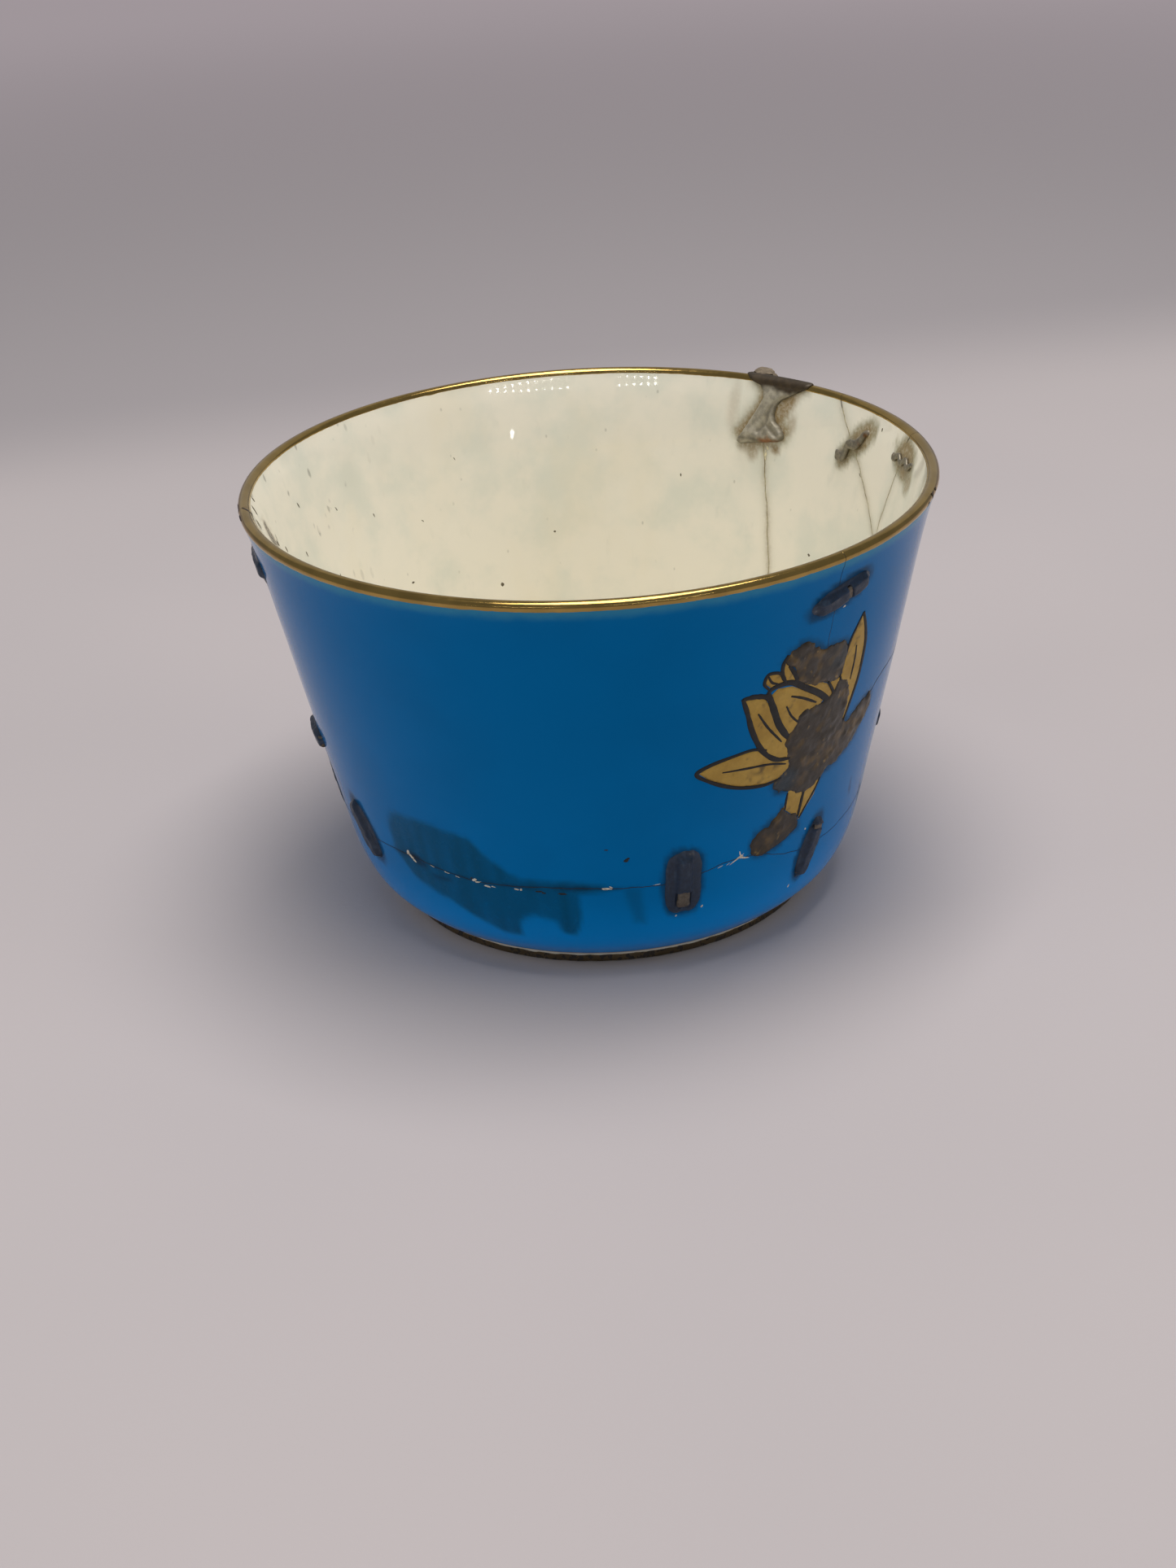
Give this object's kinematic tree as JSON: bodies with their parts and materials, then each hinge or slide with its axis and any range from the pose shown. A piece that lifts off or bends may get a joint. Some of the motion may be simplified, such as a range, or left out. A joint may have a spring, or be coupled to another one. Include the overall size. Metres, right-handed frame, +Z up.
{
  "type": "teacup",
  "caption": "Tapered handleless porcelain teacup, broken and mended with metal staples, filler mounds and a lead rim clamp",
  "frame": {"origin": "centre of the foot ring, on the plane the cup stands on", "axes": "+Z up through the mouth; -Y is the side with the lotus flower; +X is to the right of someone facing that side"},
  "size_m": [0.086, 0.086, 0.0553],
  "materials": {
    "glazed_porcelain": "turquoise-blue glaze outside, cream glaze inside",
    "gilding": "worn gold leaf and gold paint, broken at the cracks",
    "painted_filler": "hard filler brushed over with dark blue paint",
    "crack_cement": "old cement in the breaks, pale and brown-stained",
    "staple_metal": "tarnished, with rust",
    "lead": "dull lead, stained brown",
    "putty": "rough brown-grey putty"
  },
  "bodies": {
    "root": {"base_bowl": "glazed_porcelain", "front_wall": "glazed_porcelain", "back_wall": "glazed_porcelain", "right_rim_sherd": "glazed_porcelain", "rim_wedge_sherd": "glazed_porcelain", "right_front_sherd": "glazed_porcelain", "right_rear_sherd": "glazed_porcelain", "staple_front_low": "staple_metal", "filler_front_low": "painted_filler", "staple_right_low": "staple_metal", "filler_right_low": "painted_filler", "staple_right_rim": "staple_metal", "filler_right_rim": "painted_filler", "staple_left_rim": "staple_metal", "filler_left_rim": "painted_filler", "staple_left_mid": "staple_metal", "filler_left_mid": "painted_filler", "staple_left_low": "staple_metal", "filler_left_low": "painted_filler", "staple_left_break": "staple_metal", "filler_left_break": "painted_filler", "staple_right_side": "staple_metal", "filler_right_side": "painted_filler", "staple_rear_crack": "staple_metal", "filler_rear_crack": "painted_filler", "staple_rear_low_right": "staple_metal", "filler_rear_low_right": "painted_filler", "staple_rear_low_middle": "staple_metal", "filler_rear_low_middle": "painted_filler", "staple_rear_low_left": "staple_metal", "filler_rear_low_left": "painted_filler", "staple_inner_left": "staple_metal", "staple_inner_right": "staple_metal", "rim_clamp": "lead", "rim_putty": "putty"}
  },
  "joints": []
}
